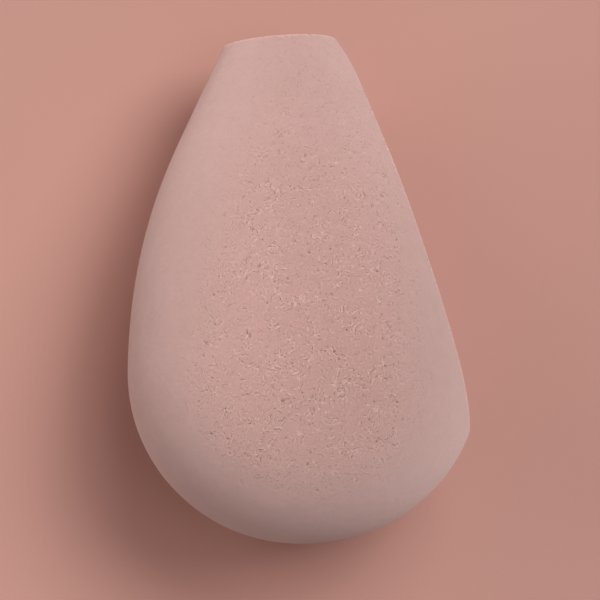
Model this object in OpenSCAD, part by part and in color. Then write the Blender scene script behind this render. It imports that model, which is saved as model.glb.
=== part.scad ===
// Makeup sponge: one moulded teardrop of fine open-cell foam, with two flat knife cuts.
// The tip is sheared off square, and one flank is pared away at a slant, which leaves a long
// oval face with a crisp rim. The sponge is one piece all through: no core, skin or handle.
//
// It lies on its belly on a table. X runs across it towards the slant face, Y runs along it
// towards the tip, and Z is up. The origin is on the table, straight below the belly's centre.
// Lengths are in millimetres and angles in degrees.

/* [Teardrop] */
// Length along the sponge's own axis, from the round base to the flat tip
sponge_l = 60; // [50:0.5:70]
// Diameter round the belly, where the sponge is widest
belly_d = 42; // [36:0.5:50]
// How far off the axis the belly's curve is centred, which swells it past a plain ball
belly_swell = 0.7; // [0.1:0.1:0.9]
// How much longer the radius of the curve under the base is than the belly's
base_flatness = 3.7; // [1:0.1:12]
// Radius of the long shoulder between the belly and the straight taper
shoulder_r = 65; // [45:1:120]
// Length of the straight taper from the shoulder up to the tip
taper_l = 12.9; // [4:0.1:18]
// Diameter of the flat tip
tip_d = 13.4; // [8:0.1:18]

/* [Slant cut] */
// Distance from the belly's centre to the slant face
slant_reach = 16.3; // [12:0.1:19]
// Angle between the sponge's axis and the slant face
slant_angle = 13.4; // [4:0.1:20]

/* [Lie on the table] */
// Angle by which the tip droops as the sponge lies on its belly
droop_angle = 6; // [0:0.5:12]
// Angle by which the sponge is rolled on its belly, which turns the slant face downwards
roll_angle = 6.5; // [-15:0.1:15]
// Depth to which the soft foam is pressed flat under its own weight
rest_flat = 0.5; // [0.2:0.1:1.5]

/* [Hidden] */
$fn = 144;

foam_colour = [0.78, 0.63, 0.60];

// Largest turn from one point of a curve to the next, in the side view
step_angle = 3;

// The side view is drawn from the axis out, as [distance from the axis, place along it], with
// the belly's centre at 0 along the axis and the tip above it. Its curves are three arcs that
// run into each other with no kink. Angles count from square off the axis, towards the tip.

// The belly's arc, centred a little off the axis, and the base's arc, centred on it
belly_r = belly_d / 2 - belly_swell;
belly_centre = [belly_swell, 0];
base_r = belly_r + base_flatness;
base_centre = [0, sqrt(pow(base_flatness, 2) - pow(belly_swell, 2))];
base_end_angle = -acos(belly_swell / base_flatness);
base_end = [0, base_centre[1] - base_r];

// The rim of the flat tip
tip_y = sponge_l + base_end[1];
tip_rim = [tip_d / 2, tip_y];

// The shoulder's centre makes a triangle with the belly's centre and the tip's rim. Its three
// sides are known, because the shoulder touches the belly's arc and the straight taper.
belly_to_rim = tip_rim - belly_centre;
rim_to_shoulder = norm([shoulder_r, taper_l]);
belly_to_shoulder = shoulder_r - belly_r;
corner_angle = acos(
    (pow(norm(belly_to_rim), 2) + pow(belly_to_shoulder, 2) - pow(rim_to_shoulder, 2))
    / (2 * norm(belly_to_rim) * belly_to_shoulder)
);
rim_angle = atan2(belly_to_rim[1], belly_to_rim[0]);
shoulder_start_angle = rim_angle + corner_angle - 180;
shoulder_centre = on_arc(belly_centre, -belly_to_shoulder, shoulder_start_angle);
taper_angle = atan2(tip_rim[1] - shoulder_centre[1], tip_rim[0] - shoulder_centre[0])
    - atan2(taper_l, shoulder_r);

side_view = concat(
    [base_end],
    arc_after_start(base_centre, base_r, -90, base_end_angle),
    arc_after_start(belly_centre, belly_r, base_end_angle, shoulder_start_angle),
    arc_after_start(shoulder_centre, shoulder_r, shoulder_start_angle, taper_angle),
    [tip_rim, [0, tip_y]]
);

// Height of the belly's centre above the table: the side view's reach straight down, less
// what is pressed flat
lies_on_belly = droop_angle < shoulder_start_angle;
lie_centre = lies_on_belly ? belly_centre : shoulder_centre;
lie_radius = lies_on_belly ? belly_r : shoulder_r;
lie_h = lie_centre * [cos(droop_angle), sin(droop_angle)] + lie_radius - rest_flat;

// The point of an arc at an angle
function on_arc(centre, r, angle) = centre + r * [cos(angle), sin(angle)];

// Points along an arc, past the first, which ends the curve before it
function arc_after_start(centre, r, from, to) =
    let (steps = max(1, ceil((to - from) / step_angle)))
    [for (i = [1 : steps]) on_arc(centre, r, from + (to - from) * i / steps)];

// The moulded teardrop, with its axis along Y
module teardrop() {
    rotate([-90, 0, 0]) rotate([0, 0, 90]) rotate_extrude() polygon(side_view);
}

// All that the slant cut takes away
module slant_waste() {
    rotate([0, 0, slant_angle]) {
        translate([slant_reach, -sponge_l, -belly_d]) cube([belly_d, 2 * sponge_l, 2 * belly_d]);
    }
}

// All that would lie below the table
module table_waste() {
    translate([-belly_d, -sponge_l, -belly_d]) cube([2 * belly_d, 2 * sponge_l, belly_d]);
}

module foam_body() {
    color(foam_colour) difference() {
        translate([0, 0, lie_h]) rotate([-droop_angle, 0, 0]) difference() {
            teardrop();
            rotate([0, roll_angle, 0]) slant_waste();
        }
        table_waste();
    }
}

foam_body();
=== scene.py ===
import math

import bpy
import numpy as np
from mathutils import Matrix, Vector


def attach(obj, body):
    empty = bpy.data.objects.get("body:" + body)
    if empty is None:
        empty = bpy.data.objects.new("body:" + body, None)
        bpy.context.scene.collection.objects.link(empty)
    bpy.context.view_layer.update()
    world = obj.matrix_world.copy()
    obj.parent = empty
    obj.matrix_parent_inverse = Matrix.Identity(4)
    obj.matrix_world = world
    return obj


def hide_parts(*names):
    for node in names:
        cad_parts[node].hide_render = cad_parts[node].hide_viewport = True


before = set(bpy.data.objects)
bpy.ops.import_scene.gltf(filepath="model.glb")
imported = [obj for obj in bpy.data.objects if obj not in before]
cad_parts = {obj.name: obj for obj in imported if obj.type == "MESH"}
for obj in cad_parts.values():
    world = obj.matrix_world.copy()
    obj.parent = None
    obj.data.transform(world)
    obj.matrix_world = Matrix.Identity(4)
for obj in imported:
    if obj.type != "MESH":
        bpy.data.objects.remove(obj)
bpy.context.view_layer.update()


# The foam body. It is the whole sponge: one teardrop of fine open-cell foam, moulded in one
# piece and then cut twice with a knife. The tip is sheared off square, and one flank is pared
# away at a slant. It lies on its belly, which its own weight presses a little flat.

# Sizes are in millimetres, here and in each section, and this turns them into metres.
MM = 0.001

LENGTH = 60.0
BELLY_D = 42.0
BELLY_SWELL = 0.7
BASE_FLATNESS = 3.7
SHOULDER_R = 65.0
TAPER_L = 12.9
TIP_D = 13.4
TIP_RIM_R = 0.28
SLANT_REACH = 16.3
SLANT_ANGLE = math.radians(13.4)
DROOP_ANGLE = math.radians(6.0)
ROLL_ANGLE = math.radians(6.5)
REST_FLAT = 0.5

ARC_POINTS = 400
LINE_POINTS = 200


def arc(centre, r, start, end):
    turn = np.linspace(start, end, ARC_POINTS)
    return np.column_stack((centre[0] + r * np.cos(turn), centre[1] + r * np.sin(turn)))


def line(start, end):
    share = np.linspace(0, 1, LINE_POINTS)[:, None]
    return np.array(start) * (1 - share) + np.array(end) * share


def teardrop_side_view():
    """The outline from the base to the centre of the tip, as (distance from the axis, place
    along it) with the belly's centre at 0. Three arcs run into each other and into the
    straight taper, as in the solid's own side view."""
    belly_r = BELLY_D / 2 - BELLY_SWELL
    belly = np.array([BELLY_SWELL, 0.0])
    base_r = belly_r + BASE_FLATNESS
    base = np.array([0.0, math.sqrt(BASE_FLATNESS**2 - BELLY_SWELL**2)])
    base_end = -math.acos(BELLY_SWELL / BASE_FLATNESS)
    tip_y = LENGTH + base[1] - base_r
    rim = np.array([TIP_D / 2, tip_y])

    # the shoulder's centre, from its triangle with the belly's centre and the tip's rim
    to_rim = rim - belly
    to_shoulder = SHOULDER_R - belly_r
    corner = math.acos(
        (to_rim @ to_rim + to_shoulder**2 - SHOULDER_R**2 - TAPER_L**2)
        / (2 * math.hypot(*to_rim) * to_shoulder)
    )
    start = math.atan2(to_rim[1], to_rim[0]) + corner - math.pi
    shoulder = belly - to_shoulder * np.array([math.cos(start), math.sin(start)])
    taper = math.atan2(rim[1] - shoulder[1], rim[0] - shoulder[0]) - math.atan2(TAPER_L, SHOULDER_R)
    taper_start = shoulder + SHOULDER_R * np.array([math.cos(taper), math.sin(taper)])

    # the knife leaves a rim with a small round, between the taper and the flat tip
    down_taper = np.array([math.sin(taper), -math.cos(taper)])
    cut_back = TIP_RIM_R * math.tan((math.pi / 2 - taper) / 2)
    round_centre = np.array([rim[0] - cut_back, tip_y - TIP_RIM_R])
    return np.vstack((
        arc(base, base_r, -math.pi / 2, base_end),
        arc(belly, belly_r, base_end, start),
        arc(shoulder, SHOULDER_R, start, taper),
        line(taper_start, rim + cut_back * down_taper),
        arc(round_centre, TIP_RIM_R, taper, math.pi / 2),
        line([round_centre[0], tip_y], [0, tip_y]),
    ))


side_view = teardrop_side_view()

# the height of the axis over the table at the belly's centre, less what is pressed flat
lie_h = (side_view @ (math.cos(DROOP_ANGLE), math.sin(DROOP_ANGLE))).max() - REST_FLAT


def by_equal_area(points, count):
    """The same outline from the tip to the base, in rows that leave the same area of the turned
    surface between each two of them."""
    points = points[::-1]
    step = np.hypot(*np.diff(points, axis=0).T)
    area = np.concatenate(([0], np.cumsum(step * (points[1:, 0] + points[:-1, 0]))))
    share = np.linspace(0, area[-1], count)
    return np.column_stack((np.interp(share, area, points[:, 0]), np.interp(share, area, points[:, 1])))


def knife_plane(facing, reach):
    """A knife's plane once the sponge is laid down: which way it faces, and how far it lies
    from the origin, in metres."""
    facing = Matrix.Rotation(-DROOP_ANGLE, 3, "X") @ Vector(facing)
    return tuple(facing), (reach + lie_h * facing.z) * MM


unrolled = Vector((math.cos(SLANT_ANGLE), math.sin(SLANT_ANGLE), 0))
slant_facing = Matrix.Rotation(ROLL_ANGLE, 3, "Y") @ unrolled
tip_y = side_view[-1][1]
knife_planes = (knife_plane(slant_facing, SLANT_REACH), knife_plane((0, 1, 0), tip_y))


class Value:
    """A socket of a node tree. An expression on values adds its Math nodes."""

    def __init__(self, nodes, socket):
        self.nodes = nodes
        self.socket = socket

    def __add__(self, other):
        return self.nodes.math("ADD", self, other)

    def __radd__(self, other):
        return self.nodes.math("ADD", other, self)

    def __sub__(self, other):
        return self.nodes.math("SUBTRACT", self, other)

    def __rsub__(self, other):
        return self.nodes.math("SUBTRACT", other, self)

    def __mul__(self, other):
        return self.nodes.math("MULTIPLY", self, other)

    def __rmul__(self, other):
        return self.nodes.math("MULTIPLY", other, self)

    def __truediv__(self, other):
        return self.nodes.math("DIVIDE", self, other)

    def __rtruediv__(self, other):
        return self.nodes.math("DIVIDE", other, self)


class Nodes:
    """Adds nodes to a tree."""

    def __init__(self, tree):
        self.tree = tree

    def add(self, kind, settings=None, **inputs):
        """A node of a kind, with its settings first and then its sockets, by name or by place
        as in0, in1 and so on."""
        node = self.tree.nodes.new(kind)
        for name, value in (settings or {}).items():
            setattr(node, name, value)
        for name, value in inputs.items():
            at = int(name[2:]) if name[:2] == "in" and name[2:].isdigit() else name.replace("_", " ")
            if isinstance(value, Value):
                self.tree.links.new(value.socket, node.inputs[at])
            else:
                node.inputs[at].default_value = value
        return node

    def out(self, kind, settings=None, output=0, **inputs):
        return Value(self, self.add(kind, settings, **inputs).outputs[output])

    def math(self, operation, *values):
        sockets = {f"in{at}": value for at, value in enumerate(values)}
        return self.out("ShaderNodeMath", {"operation": operation}, **sockets)

    def vector(self, operation, *values, output=0):
        sockets = {f"in{at}": value for at, value in enumerate(values)}
        return self.out("ShaderNodeVectorMath", {"operation": operation}, output, **sockets)

    def scaled(self, vector, by):
        return self.out("ShaderNodeVectorMath", {"operation": "SCALE"}, in0=vector, in3=by)

    def joined(self, x=0.0, y=0.0, z=0.0):
        return self.out("ShaderNodeCombineXYZ", in0=x, in1=y, in2=z)

    def split(self, vector):
        return [Value(self, socket) for socket in self.add("ShaderNodeSeparateXYZ", in0=vector).outputs]

    def noise(self, place, size, detail=0.0, output=0):
        """A soft noise with forms of a size in mm: its height, or three heights as its Color."""
        return self.out(
            "ShaderNodeTexNoise",
            {"noise_dimensions": "3D"},
            output,
            Vector=place,
            Scale=1 / (size * MM),
            Detail=detail,
        )

    def direction(self, place, size):
        """The three heights of a noise, each from -0.5 to 0.5."""
        return self.vector("SUBTRACT", self.noise(place, size, output="Color"), (0.5, 0.5, 0.5))

    def voronoi(self, place, size, feature):
        return self.add(
            "ShaderNodeTexVoronoi",
            {"voronoi_dimensions": "3D", "feature": feature},
            Vector=place,
            Scale=1 / (size * MM),
            Randomness=1.0,
        )

    def smooth_step(self, value, start, end):
        """0 at start and 1 at end, with a soft run between them."""
        return self.out(
            "ShaderNodeMapRange",
            {"interpolation_type": "SMOOTHSTEP"},
            Value=value,
            From_Min=start,
            From_Max=end,
        )


# the foam's open cells, with the radius of the smallest and the largest as a share of their pitch
CELL_PITCH = 0.52
SMALLEST_CELL_SHARE = 0.08
LARGEST_CELL_SHARE = 0.5
CELL_PULL = 0.5
CELL_PULL_SIZE = 0.45


def open_cells(nodes, place):
    """Gas cells of the foam that the surface cuts open, pulled out of round by their neighbours.
    Gives how deep each place lies inside its cell, from 0 at its wall to 1 at the deepest."""
    pull = nodes.scaled(nodes.direction(place, CELL_PULL_SIZE), CELL_PULL * MM)
    cells = nodes.voronoi(nodes.vector("ADD", place, pull), CELL_PITCH, "F1")
    chance = nodes.split(Value(nodes, cells.outputs["Color"]))[0]
    radius = SMALLEST_CELL_SHARE + (LARGEST_CELL_SHARE - SMALLEST_CELL_SHARE) * chance * chance
    from_middle = Value(nodes, cells.outputs["Distance"]) / radius
    return nodes.math("MAXIMUM", 1 - from_middle * from_middle, 0.0) * (radius / LARGEST_CELL_SHARE)


# where the crown's pores begin and where they are all open, across the sponge and along it: the
# far edge leans in towards the tip, and the edge at the base is a curve about the crown's middle
CROWN_FAR_EDGE = (-18.5, -7.0)
CROWN_LEAN_SHARE = 0.23
CROWN_SLANT_EDGE = (17.5, 6.5)
CROWN_BASE_EDGE = (-18.0, -8.5)
CROWN_BASE_R = 14.0
CROWN_MIDDLE = 1.0

# the stretch over which they thin out towards the tip, and by how much
TIP_FADE = (8.0, 38.0)
TIP_FADE_SHARE = 0.72

# the same for the depth under a knife cut, and how far pores are open on the cuts and the skin
CUT_EDGE = (0.4, 0.25)
CUT_SHARE = 0.9
SKIN_SHARE = 0.18


def pore_share(nodes, place):
    """How far the pores stand open: all the way on the crown of the belly, where the skin is
    buffed off, nearly so on the two knife cuts, and little on the mould's skin elsewhere."""

    def past(value, edge):
        return nodes.smooth_step(value, edge[0] * MM, edge[1] * MM)

    x, y, _ = nodes.split(place)
    crown = past(x - CROWN_LEAN_SHARE * nodes.math("MAXIMUM", y, 0.0), CROWN_FAR_EDGE)
    from_middle = x - CROWN_MIDDLE * MM
    rounded = y - from_middle * from_middle / (2 * CROWN_BASE_R * MM)
    crown = crown * past(x, CROWN_SLANT_EDGE) * past(rounded, CROWN_BASE_EDGE)
    crown = crown * (1 - TIP_FADE_SHARE * past(y, TIP_FADE))
    cut = 0.0
    for facing, reach in knife_planes:
        depth = reach - nodes.vector("DOT_PRODUCT", place, facing, output="Value")
        cut = nodes.math("MAXIMUM", past(depth, CUT_EDGE), cut)
    return nodes.math("MAXIMUM", SKIN_SHARE + (1 - SKIN_SHARE) * crown, CUT_SHARE * cut)


# The body is a closed cage of even squares, pulled onto the turned side view, cut, laid on the
# table and then pitted with the foam's open cells.
SIDE_VIEW_ROWS = 900
WAVE_SIZE = 16.0
PRESSED_EDGE = 0.5

outline_rows = by_equal_area(side_view, SIDE_VIEW_ROWS)
outline_mesh = bpy.data.meshes.new("side_view")
outline_mesh.from_pydata([(r * MM, y * MM, 0) for r, y in outline_rows], [], [])
outline_object = bpy.data.objects.new("side_view", outline_mesh)

tree = bpy.data.node_groups.new("sponge_from_side_view", "GeometryNodeTree")
for name, kind, value in (
    ("Squares along an edge", "NodeSocketInt", 240),
    ("Slant reach", "NodeSocketFloat", SLANT_REACH * MM),
    ("Slant angle", "NodeSocketFloat", SLANT_ANGLE),
    ("Roll angle", "NodeSocketFloat", ROLL_ANGLE),
    ("Droop angle", "NodeSocketFloat", DROOP_ANGLE),
    ("Lie height", "NodeSocketFloat", lie_h * MM),
    ("Rim softness", "NodeSocketFloat", 0.012),
    ("Waviness", "NodeSocketFloat", 0.10 * MM),
    ("Pore depth", "NodeSocketFloat", 0.16 * MM),
    ("Side view", "NodeSocketObject", None),
    ("Foam", "NodeSocketMaterial", None),
):
    socket = tree.interface.new_socket(name, in_out="INPUT", socket_type=kind)
    if value is not None:
        socket.default_value = value
tree.interface.new_socket("Geometry", in_out="OUTPUT", socket_type="NodeSocketGeometry")

n = Nodes(tree)
given = {s.name: Value(n, s) for s in n.add("NodeGroupInput").outputs if s.name}
position = n.out("GeometryNodeInputPosition")
outwards = n.out("GeometryNodeInputNormal")

count = given["Squares along an edge"] + 1
cage = n.out("GeometryNodeMeshCube", Size=(1, 1, 1), Vertices_X=count, Vertices_Y=count, Vertices_Z=count)
px, py, pz = n.split(position)

# its six sides lie on the map through which the finish is baked, in a column for each axis and
# a row for each way along it, and each fills nearly all of its place
MAP_COLUMNS = 3
MAP_ROWS = 2
SIDE_FILL_SHARE = 0.98
facing = n.out("GeometryNodeFieldOnDomain", {"data_type": "FLOAT_VECTOR", "domain": "FACE"}, in0=outwards)
sx, sy, sz = (n.math("ROUND", part) for part in n.split(facing))
on_x, on_y, on_z = (n.math("ABSOLUTE", part) for part in (sx, sy, sz))
map_column = on_y + 2 * on_z
map_row = (sx + sy + sz + 1) / 2
right = sx * py - sy * px + sz * px
up = (on_x + on_y) * pz + on_z * py
cage = n.out(
    "GeometryNodeStoreNamedAttribute",
    {"data_type": "FLOAT2", "domain": "CORNER"},
    Geometry=cage,
    Name="OFBake",
    Value=n.joined(
        (map_column + 0.5 + SIDE_FILL_SHARE * right) / MAP_COLUMNS,
        (map_row + 0.5 + SIDE_FILL_SHARE * up) / MAP_ROWS,
    ),
)

# the squares are spread evenly over a ball, whose places then move onto the turned side view
spread = n.joined(*(n.math("TANGENT", part * (math.pi / 2)) for part in (px, py, pz)))
ball = n.vector("NORMALIZE", spread)
across, along, upright = n.split(ball)
outward = n.vector("NORMALIZE", n.joined(x=across, z=upright))
row = (1 - along) * ((len(outline_rows) - 1) / 2)
row_below = n.math("MINIMUM", n.math("FLOOR", row), len(outline_rows) - 2.0)
side_points = n.add("GeometryNodeObjectInfo", {"transform_space": "ORIGINAL"}, Object=given["Side view"])
lower, upper = (
    n.out(
        "GeometryNodeSampleIndex",
        {"data_type": "FLOAT_VECTOR", "domain": "POINT"},
        Geometry=Value(n, side_points.outputs["Geometry"]),
        Value=position,
        Index=index,
    )
    for index in (row_below, row_below + 1)
)
step_on = n.scaled(n.vector("SUBTRACT", upper, lower), row - row_below)
from_axis, along_axis, _ = n.split(n.vector("ADD", lower, step_on))
teardrop = n.vector("ADD", n.scaled(outward, from_axis), n.joined(y=along_axis))

# the slant cut draws all that lies past the knife's plane back to it, towards a point inside,
# and what lies the other way is given a least reach, so that nothing is divided by 0
CUT_HEART = (0.0, 9 * MM, 0.0)
LEAST_REACH_SHARE = 0.1
cos_slant = n.math("COSINE", given["Slant angle"])
sin_slant = n.math("SINE", given["Slant angle"])
cos_roll = n.math("COSINE", given["Roll angle"])
sin_roll = n.math("SINE", given["Roll angle"])
knife = n.joined(cos_slant * cos_roll, sin_slant, -1 * cos_slant * sin_roll)
spoke = n.vector("SUBTRACT", teardrop, CUT_HEART)
room = given["Slant reach"] - n.vector("DOT_PRODUCT", CUT_HEART, knife, output="Value")
towards_knife = n.vector("DOT_PRODUCT", spoke, knife, output="Value")
reach = n.math("MAXIMUM", towards_knife, room * LEAST_REACH_SHARE)
kept = n.math("SMOOTH_MIN", room / reach, 1.0, given["Rim softness"])
cut = n.vector("ADD", n.scaled(spoke, kept), CUT_HEART)
body = n.out("GeometryNodeSetPosition", Geometry=cage, Position=cut)

# it is laid on its belly, and its surface is never quite even
body = n.out(
    "GeometryNodeTransform",
    Geometry=body,
    Translation=n.joined(z=given["Lie height"]),
    Rotation=n.joined(x=-1 * given["Droop angle"]),
)
wave = (n.noise(position, WAVE_SIZE, detail=2.0) - 0.5) * 2
swell = n.scaled(outwards, wave * given["Waviness"])
body = n.out("GeometryNodeSetPosition", Geometry=body, Offset=swell)

# the open cells are pits below the surface, and the belly gives where it touches the table
pits = open_cells(n, position) * pore_share(n, position)
sunk = n.scaled(outwards, -1 * pits * given["Pore depth"])
body = n.out("GeometryNodeSetPosition", Geometry=body, Offset=sunk)
x, y, z = n.split(position)
pressed = n.math("SMOOTH_MAX", z, 0.0, PRESSED_EDGE * MM)
body = n.out("GeometryNodeSetPosition", Geometry=body, Position=n.joined(x, y, pressed))
body = n.out("GeometryNodeSetShadeSmooth", Geometry=body)
body = n.out("GeometryNodeRealizeInstances", Geometry=body)
body = n.out("GeometryNodeSetMaterial", Geometry=body, Material=given["Foam"])
n.add("NodeGroupOutput", Geometry=body)

# Matte rose foam: finely porous, with painted shade down in the cells and a painted highlight on
# the walls between them. The walls stand in short pieces, each with a hollow along one side that has
# painted shade too.
FOAM_DEEP = (0.645, 0.405, 0.362, 1)
FOAM_PALE = (0.668, 0.425, 0.390, 1)
FOAM_TINT_SIZE = 9.0
FOAM_MOTTLE = 0.045
FOAM_MOTTLE_SIZE = 1.4
SKIN_TINT = (0.925, 0.99, 1.02, 1)
PORE_TINT = (1.0, 1.0, 1.0, 1)
# a painted highlight on the cell walls, as though they catch the light, and how much of it
WALL_PAINTED_HIGHLIGHT = (0.90, 0.66, 0.61, 1)
WALL_PAINTED_HIGHLIGHT_SHARE = 0.54
# painted shade in the deepest places of the cells and in the hollows beside the walls, and how much of it
# in each
CELL_PAINTED_SHADE = (0.33, 0.18, 0.155, 1)
SPECK_PAINTED_SHADE_SHARE = 0.75
HOLLOW_PAINTED_SHADE_SHARE = 0.6

# the pieces of wall, which stand more often where the pores are open and gather in clusters
WALL_PITCH = 0.56
WALL_EDGE_SHARES = (0.14, 0.02)
WALL_PIECE_SIZE = 0.36
WALL_PIECE_RUN = (0.58, 0.64)
MORE_WHERE_OPEN = 0.07
CLUSTER_SIZE = 1.9
CLUSTER_RUN = (0.42, 0.58)
LEAST_CLUSTER_SHARE = 0.5
WALL_FADE_SHARES = (0.1, 0.75)

# how far the hollow, which carries painted shade, lies beside its wall, and over what size its side
# changes
HOLLOW_OFFSET = 0.13
HOLLOW_TURN_SIZE = 1.4

# the specks of painted shade, at the deepest places of the open cells
DEEPER_WHERE_OPEN = 0.25
SPECK_RUN = (0.78, 1.05)
SPECK_FADE_SHARES = (0.22, 0.75)

# the fine relief of all this and of the foam's grain
RELIEF = 0.08
RELIEF_STRENGTH = 0.5
WALL_RISE_SHARE = 0.5
HOLLOW_DROP_SHARE = 0.5
CELL_DROP_SHARE = 0.3
GRAIN_SIZE = 0.7

foam = bpy.data.materials.new("rose_foam")
foam.use_nodes = True
foam.node_tree.nodes.clear()
m = Nodes(foam.node_tree)
place = m.out("ShaderNodeTexCoord", output="Object")
share = pore_share(m, place)
cells = open_cells(m, place)


def walls(at):
    """The thin walls between the foam's cells, of which only short pieces stand, and fewer
    where the pores are few: 1 on a wall."""
    edge = Value(m, m.voronoi(at, WALL_PITCH, "DISTANCE_TO_EDGE").outputs["Distance"])
    stands = m.noise(at, WALL_PIECE_SIZE) + MORE_WHERE_OPEN * share
    return m.smooth_step(edge, *WALL_EDGE_SHARES) * m.smooth_step(stands, *WALL_PIECE_RUN)


def mixed(share, first, second):
    """The first colour, gone over to the second by a share. A Mix node keeps its sockets for
    colours at these places, after those for numbers and vectors of the same names."""
    return m.out("ShaderNodeMix", {"data_type": "RGBA"}, output=2, in0=share, in6=first, in7=second)


aside = m.vector("NORMALIZE", m.direction(place, HOLLOW_TURN_SIZE))
wall = walls(place)
hollow = walls(m.vector("ADD", place, m.scaled(aside, HOLLOW_OFFSET * MM))) * (1 - wall)
gathered = m.smooth_step(m.noise(place, CLUSTER_SIZE), *CLUSTER_RUN)
gathered = LEAST_CLUSTER_SHARE + (1 - LEAST_CLUSTER_SHARE) * gathered
cluster = gathered * m.smooth_step(share, *WALL_FADE_SHARES)
wall = wall * cluster * share
hollow = hollow * cluster
deep = m.smooth_step(cells + DEEPER_WHERE_OPEN * share, *SPECK_RUN)
speck = deep * m.smooth_step(share, *SPECK_FADE_SHARES)

# the mould's skin is a little greyer than the foam that the pores lay open
darker = (1 - FOAM_MOTTLE,) * 3 + (1,)
lighter = (1 + FOAM_MOTTLE,) * 3 + (1,)
foam_colour = mixed(m.noise(place, FOAM_TINT_SIZE, detail=2.0), FOAM_DEEP, FOAM_PALE)
foam_colour = m.vector("MULTIPLY", foam_colour, mixed(share, SKIN_TINT, PORE_TINT))
mottle = mixed(m.noise(place, FOAM_MOTTLE_SIZE, detail=1.0), darker, lighter)
foam_colour = m.vector("MULTIPLY", foam_colour, mottle)
# the walls get a painted highlight
foam_colour = mixed(wall * WALL_PAINTED_HIGHLIGHT_SHARE, foam_colour, WALL_PAINTED_HIGHLIGHT)
# painted shade in the specks and the hollows
painted_shade_share = m.math("MINIMUM", SPECK_PAINTED_SHADE_SHARE * speck + HOLLOW_PAINTED_SHADE_SHARE * hollow, 1.0)
foam_colour = mixed(painted_shade_share, foam_colour, CELL_PAINTED_SHADE)

stands_out = WALL_RISE_SHARE * wall - HOLLOW_DROP_SHARE * hollow - CELL_DROP_SHARE * (cells * share)
relief = m.out(
    "ShaderNodeBump",
    Strength=RELIEF_STRENGTH,
    Distance=RELIEF * MM,
    Height=stands_out + m.noise(place, GRAIN_SIZE, detail=1.0),
)
surface = m.out(
    "ShaderNodeBsdfPrincipled",
    Base_Color=foam_colour,
    Diffuse_Roughness=1.0,
    Roughness=0.95,
    Normal=relief,
    Specular_IOR_Level=0.15,
    Sheen_Weight=0.12,
    Sheen_Roughness=0.5,
    Sheen_Tint=(0.95, 0.86, 0.84, 1),
)
m.add("ShaderNodeOutputMaterial", Surface=surface)

# the tree's result becomes a plain mesh, and the objects that made it go
maker = bpy.data.objects.new("maker", bpy.data.meshes.new("maker"))
bpy.context.scene.collection.objects.link(outline_object)
bpy.context.scene.collection.objects.link(maker)
modifier = maker.modifiers.new("sponge", "NODES")
modifier.node_group = tree
sockets = {s.name: s.identifier for s in tree.interface.items_tree if s.in_out == "INPUT"}
modifier[sockets["Side view"]] = outline_object
modifier[sockets["Foam"]] = foam
shaped = bpy.data.meshes.new_from_object(maker.evaluated_get(bpy.context.evaluated_depsgraph_get()))
for helper in (maker, outline_object):
    bpy.data.objects.remove(helper)
shaped.name = "foam_teardrop"
foam_teardrop = bpy.data.objects.new("foam_teardrop", shaped)
bpy.context.scene.collection.objects.link(foam_teardrop)

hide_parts("foam_body")
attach(foam_teardrop, "root")


# The table. A plain, pale rose tabletop with a matt face, much wider than what is seen of it.
# It carries the sponge and isn't part of it.

TABLE_HALF_W = 3000
TABLE_ROSE = (0.605, 0.318, 0.268, 1)

half = TABLE_HALF_W * MM
corners = [(-half, -half, 0), (half, -half, 0), (half, half, 0), (-half, half, 0)]
top_mesh = bpy.data.meshes.new("tabletop")
top_mesh.from_pydata(corners, [], [(0, 1, 2, 3)])
tabletop = bpy.data.objects.new("tabletop", top_mesh)
bpy.context.scene.collection.objects.link(tabletop)
paint = bpy.data.materials.new("pale_rose_paint")
paint.use_nodes = True
matt_face = paint.node_tree.nodes["Principled BSDF"].inputs
matt_face["Base Color"].default_value = TABLE_ROSE
matt_face["Roughness"].default_value = 0.9
matt_face["Specular IOR Level"].default_value = 0.1
top_mesh.materials.append(paint)


# The light. Plain soft studio light: broad lamps high on the slant side and towards the tip, and
# weaker, slightly warm ones on the far side, low down and behind the base, to fill the shade.

KEY_TINT = (0.98, 1.0, 1.0)
FILL_TINT = (1.0, 0.93, 0.89)

studio = bpy.data.worlds.new("studio")
studio.use_nodes = True
studio.node_tree.nodes["Background"].inputs["Color"].default_value = (1, 1, 1, 1)
studio.node_tree.nodes["Background"].inputs["Strength"].default_value = 0.02
bpy.context.scene.world = studio

# the way to each lamp, from +X round towards +Y and up from the table, and how wide it looks, in
# degrees, with its strength before its width
for name, azimuth, height, strength, width, tint in (
    ("key_right", 30, 58, 1.30, 25, KEY_TINT),
    ("key_left", 60, 58, 0.86, 25, KEY_TINT),
    ("top", 0, 76, 0.38, 20, KEY_TINT),
    ("fill_near", 135, 34, 0.42, 25, FILL_TINT),
    ("fill_far", 165, 34, 0.22, 25, FILL_TINT),
    ("low_near", 120, 10, 0.58, 30, FILL_TINT),
    ("low_far", 180, 10, 0.60, 30, FILL_TINT),
    ("low_base", 270, 12, 0.38, 30, FILL_TINT),
):
    lamp = bpy.data.lights.new(name, "SUN")
    lamp.energy = strength
    lamp.color = tint
    lamp.angle = math.radians(width)
    lamp_object = bpy.data.objects.new(name, lamp)
    turn = math.radians(azimuth)
    rise = math.radians(height)
    towards = Vector((math.cos(turn) * math.cos(rise), math.sin(turn) * math.cos(rise), math.sin(rise)))
    lamp_object.rotation_euler = towards.to_track_quat("Z", "Y").to_euler()
    bpy.context.scene.collection.objects.link(lamp_object)

bpy.context.scene.view_settings.view_transform = "Standard"


# The camera. Straight above the sponge, 0.73 m over the table, with a long lens, and turned so
# that the tip leans a little to the left.

CAMERA_PLACE = (0.124, 8.603, 733.87)
CAMERA_TURN = math.radians(-4.307)
LENS_LENGTH = 360

lens = bpy.data.cameras.new("camera")
lens.lens = LENS_LENGTH
lens.clip_start = 10 * MM
camera = bpy.data.objects.new("camera", lens)
camera.location = Vector(CAMERA_PLACE) * MM
camera.rotation_euler = (0, 0, CAMERA_TURN)
bpy.context.scene.collection.objects.link(camera)
bpy.context.scene.camera = camera
